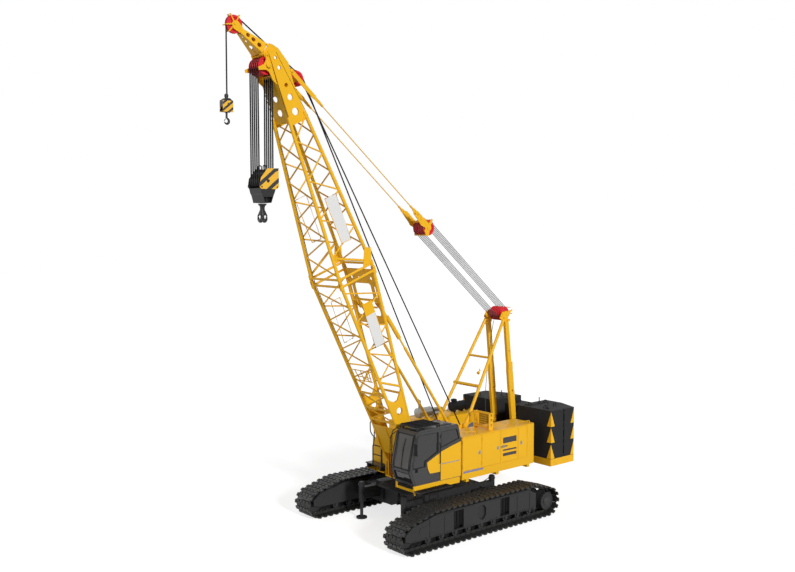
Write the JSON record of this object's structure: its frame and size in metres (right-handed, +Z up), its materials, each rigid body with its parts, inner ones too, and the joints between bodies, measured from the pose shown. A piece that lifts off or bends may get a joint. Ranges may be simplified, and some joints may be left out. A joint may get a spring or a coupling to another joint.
{
  "type": "crawler crane",
  "caption": "Crawler crane with a lattice boom, gantry, cab, winches, stacked counterweights, ramshorn main hook and auxiliary hook on two wide tracks.",
  "frame": {"origin": "on the ground under the middle of the overall box", "axes": "+X towards the boom (forward), +Y to the cab's side (left), +Z up"},
  "size_m": [11.9804, 5.14, 14.4037],
  "materials": {
    "undercarriage_paint": "dark grey satin paint",
    "track_steel": "bare dark cast steel",
    "yellow_paint": "gloss yellow paint",
    "cab_paint": "dark grey gloss paint",
    "pane": "tinted glass",
    "seat_trim": "black cloth",
    "exhaust_steel": "aluminised steel",
    "red_sheave": "red paint",
    "drum_paint": "grey paint",
    "hook_paint": "yellow paint with black bands",
    "hook_steel": "dark forged steel"
  },
  "bodies": {
    "undercarriage": {"carbody": "undercarriage_paint", "slew_ring": "undercarriage_paint", "track_frame_left": "undercarriage_paint", "track_frame_right": "undercarriage_paint", "track_left": "track_steel", "track_right": "track_steel", "idlers": "undercarriage_paint", "sprockets": "undercarriage_paint", "lower_rollers": "undercarriage_paint", "carrier_rollers": "undercarriage_paint", "final_drives": "undercarriage_paint", "jack_tubes": "undercarriage_paint"},
    "jacks": {"jack_rods": "undercarriage_paint"},
    "upper": {"upper_frame": "yellow_paint", "housing_left": "yellow_paint", "housing_right": "yellow_paint", "engine": "drum_paint", "cab_shell": "cab_paint", "cab_door": "cab_paint", "cab_glass": "pane", "cab_side_panels": "yellow_paint", "cab_seat": "seat_trim", "counterweight_tray": "yellow_paint", "counterweight_left": "cab_paint", "counterweight_right": "cab_paint", "gantry": "yellow_paint", "muffler": "exhaust_steel", "air_cleaner": "cab_paint", "front_tank": "yellow_paint", "walkway": "cab_paint", "roof_rack": "yellow_paint"},
    "boom": {"boom_butt": "yellow_paint", "boom_head": "yellow_paint", "guide_sheaves": "red_sheave", "tip_extension": "yellow_paint"},
    "luff_line": {"gantry_sheaves": "red_sheave"},
    "bridle": {"bridle": "yellow_paint", "bridle_sheaves": "red_sheave", "pendants": "yellow_paint"},
    "backstop_tubes": {"backstop_tubes": "yellow_paint"},
    "backstop_rods": {"backstop_rods": "yellow_paint"},
    "main_falls": {"main_sheaves": "red_sheave"},
    "main_block": {"hook_block": "hook_paint"},
    "main_hook": {"ramshorn_hook": "hook_steel"},
    "aux_falls": {"tip_sheave": "red_sheave"},
    "aux_block": {"aux_block": "hook_paint"},
    "aux_hook": {"aux_hook": "hook_steel"},
    "main_drum": {"main_winch": "drum_paint"},
    "aux_drum": {"auxiliary_winch": "drum_paint"},
    "luffing_drum": {"luffing_winch": "drum_paint"},
    "door_left_1": {"door_left_1": "yellow_paint"},
    "door_left_2": {"door_left_2": "yellow_paint"},
    "door_left_3": {"door_left_3": "yellow_paint"},
    "door_left_4": {"door_left_4": "yellow_paint"},
    "door_right_1": {"door_right_1": "yellow_paint"},
    "door_right_2": {"door_right_2": "yellow_paint"},
    "door_right_3": {"door_right_3": "yellow_paint"}
  },
  "joints": [
    {"name": "slew", "type": "hinge", "parent": "undercarriage", "child": "upper", "pos_m": [-1.1102, 0, 1.24], "axis": [0, 0, 1], "continuous": true},
    {"name": "jack_lift", "type": "slide", "parent": "undercarriage", "child": "jacks", "axis": [0, 0, 1], "range_m": [0, 0.4]},
    {"name": "boom_luff", "type": "hinge", "parent": "upper", "child": "boom", "pos_m": [-0.1352, 0, 1.745], "axis": [0, -1, 0], "range_deg": [-38.5, 11.5]},
    {"name": "luff_line_swivel", "type": "hinge", "parent": "upper", "child": "luff_line", "pos_m": [-4.2702, 0, 6.125], "axis": [0, -1, 0], "range_deg": [-34.56, 10.94]},
    {"name": "bridle_travel", "type": "slide", "parent": "luff_line", "child": "bridle", "axis": [0.7656, 0, 0.6433], "range_m": [-1.2288, 3.8831]},
    {"name": "backstop_swivel", "type": "hinge", "parent": "upper", "child": "backstop_tubes", "pos_m": [-1.7502, 0, 2.6], "axis": [0, -1, 0], "range_deg": [-35.08, 11.1]},
    {"name": "backstop_travel", "type": "slide", "parent": "backstop_tubes", "child": "backstop_rods", "axis": [0.5775, 0, 0.8164], "range_m": [-0.371, 1.1723]},
    {"name": "main_falls_plumb", "type": "hinge", "parent": "boom", "child": "main_falls", "pos_m": [4.79723, 0, 13.16166], "axis": [0, -1, 0], "range_deg": [-12.5, 39.5]},
    {"name": "main_hoist", "type": "slide", "parent": "main_falls", "child": "main_block", "axis": [0, 0, -1], "range_m": [-1, 8]},
    {"name": "main_hook_swivel", "type": "hinge", "parent": "main_block", "child": "main_hook", "pos_m": [4.79723, 0, 9.58166], "axis": [0, 0, 1], "continuous": true},
    {"name": "aux_falls_plumb", "type": "hinge", "parent": "boom", "child": "aux_falls", "pos_m": [5.6052, 0, 14.15141], "axis": [0, -1, 0], "range_deg": [-12.5, 39.5]},
    {"name": "aux_hoist", "type": "slide", "parent": "aux_falls", "child": "aux_block", "axis": [0, 0, -1], "range_m": [-1, 8]},
    {"name": "aux_hook_swivel", "type": "hinge", "parent": "aux_block", "child": "aux_hook", "pos_m": [5.8402, 0, 11.91641], "axis": [0, 0, 1], "continuous": true},
    {"name": "main_drum_turn", "type": "hinge", "parent": "upper", "child": "main_drum", "pos_m": [-1.5302, 0, 2.12], "axis": [0, 1, 0], "continuous": true},
    {"name": "aux_drum_turn", "type": "hinge", "parent": "upper", "child": "aux_drum", "pos_m": [-2.5302, 0, 2.12], "axis": [0, 1, 0], "continuous": true},
    {"name": "luffing_drum_turn", "type": "hinge", "parent": "upper", "child": "luffing_drum", "pos_m": [-3.5302, 0, 2.12], "axis": [0, 1, 0], "continuous": true},
    {"name": "door_left_1_hinge", "type": "hinge", "parent": "upper", "child": "door_left_1", "pos_m": [-0.9702, 1.711, 2.1], "axis": [0, 0, -1], "range_deg": [0, 90]},
    {"name": "door_left_2_hinge", "type": "hinge", "parent": "upper", "child": "door_left_2", "pos_m": [-1.7862, 1.711, 2.1], "axis": [0, 0, -1], "range_deg": [0, 90]},
    {"name": "door_left_3_hinge", "type": "hinge", "parent": "upper", "child": "door_left_3", "pos_m": [-3.3722, 1.711, 2.1], "axis": [0, 0, 1], "range_deg": [0, 90]},
    {"name": "door_left_4_hinge", "type": "hinge", "parent": "upper", "child": "door_left_4", "pos_m": [-3.7942, 1.711, 2.1], "axis": [0, 0, 1], "range_deg": [0, 90]},
    {"name": "door_right_1_hinge", "type": "hinge", "parent": "upper", "child": "door_right_1", "pos_m": [-1.7862, -1.711, 2.1], "axis": [0, 0, 1], "range_deg": [0, 90]},
    {"name": "door_right_2_hinge", "type": "hinge", "parent": "upper", "child": "door_right_2", "pos_m": [-3.3722, -1.711, 2.1], "axis": [0, 0, -1], "range_deg": [0, 90]},
    {"name": "door_right_3_hinge", "type": "hinge", "parent": "upper", "child": "door_right_3", "pos_m": [-3.7942, -1.711, 2.1], "axis": [0, 0, -1], "range_deg": [0, 90]}
  ],
  "couplings": [
    {"joint": "luff_line_swivel", "follows": "boom_luff", "ratio": 0.875},
    {"joint": "bridle_travel", "follows": "boom_luff", "m_per_rad": -5.6326},
    {"joint": "backstop_swivel", "follows": "boom_luff", "ratio": 0.888},
    {"joint": "backstop_travel", "follows": "boom_luff", "m_per_rad": -1.7004},
    {"joint": "main_falls_plumb", "follows": "boom_luff", "ratio": -1},
    {"joint": "aux_falls_plumb", "follows": "boom_luff", "ratio": -1}
  ]
}
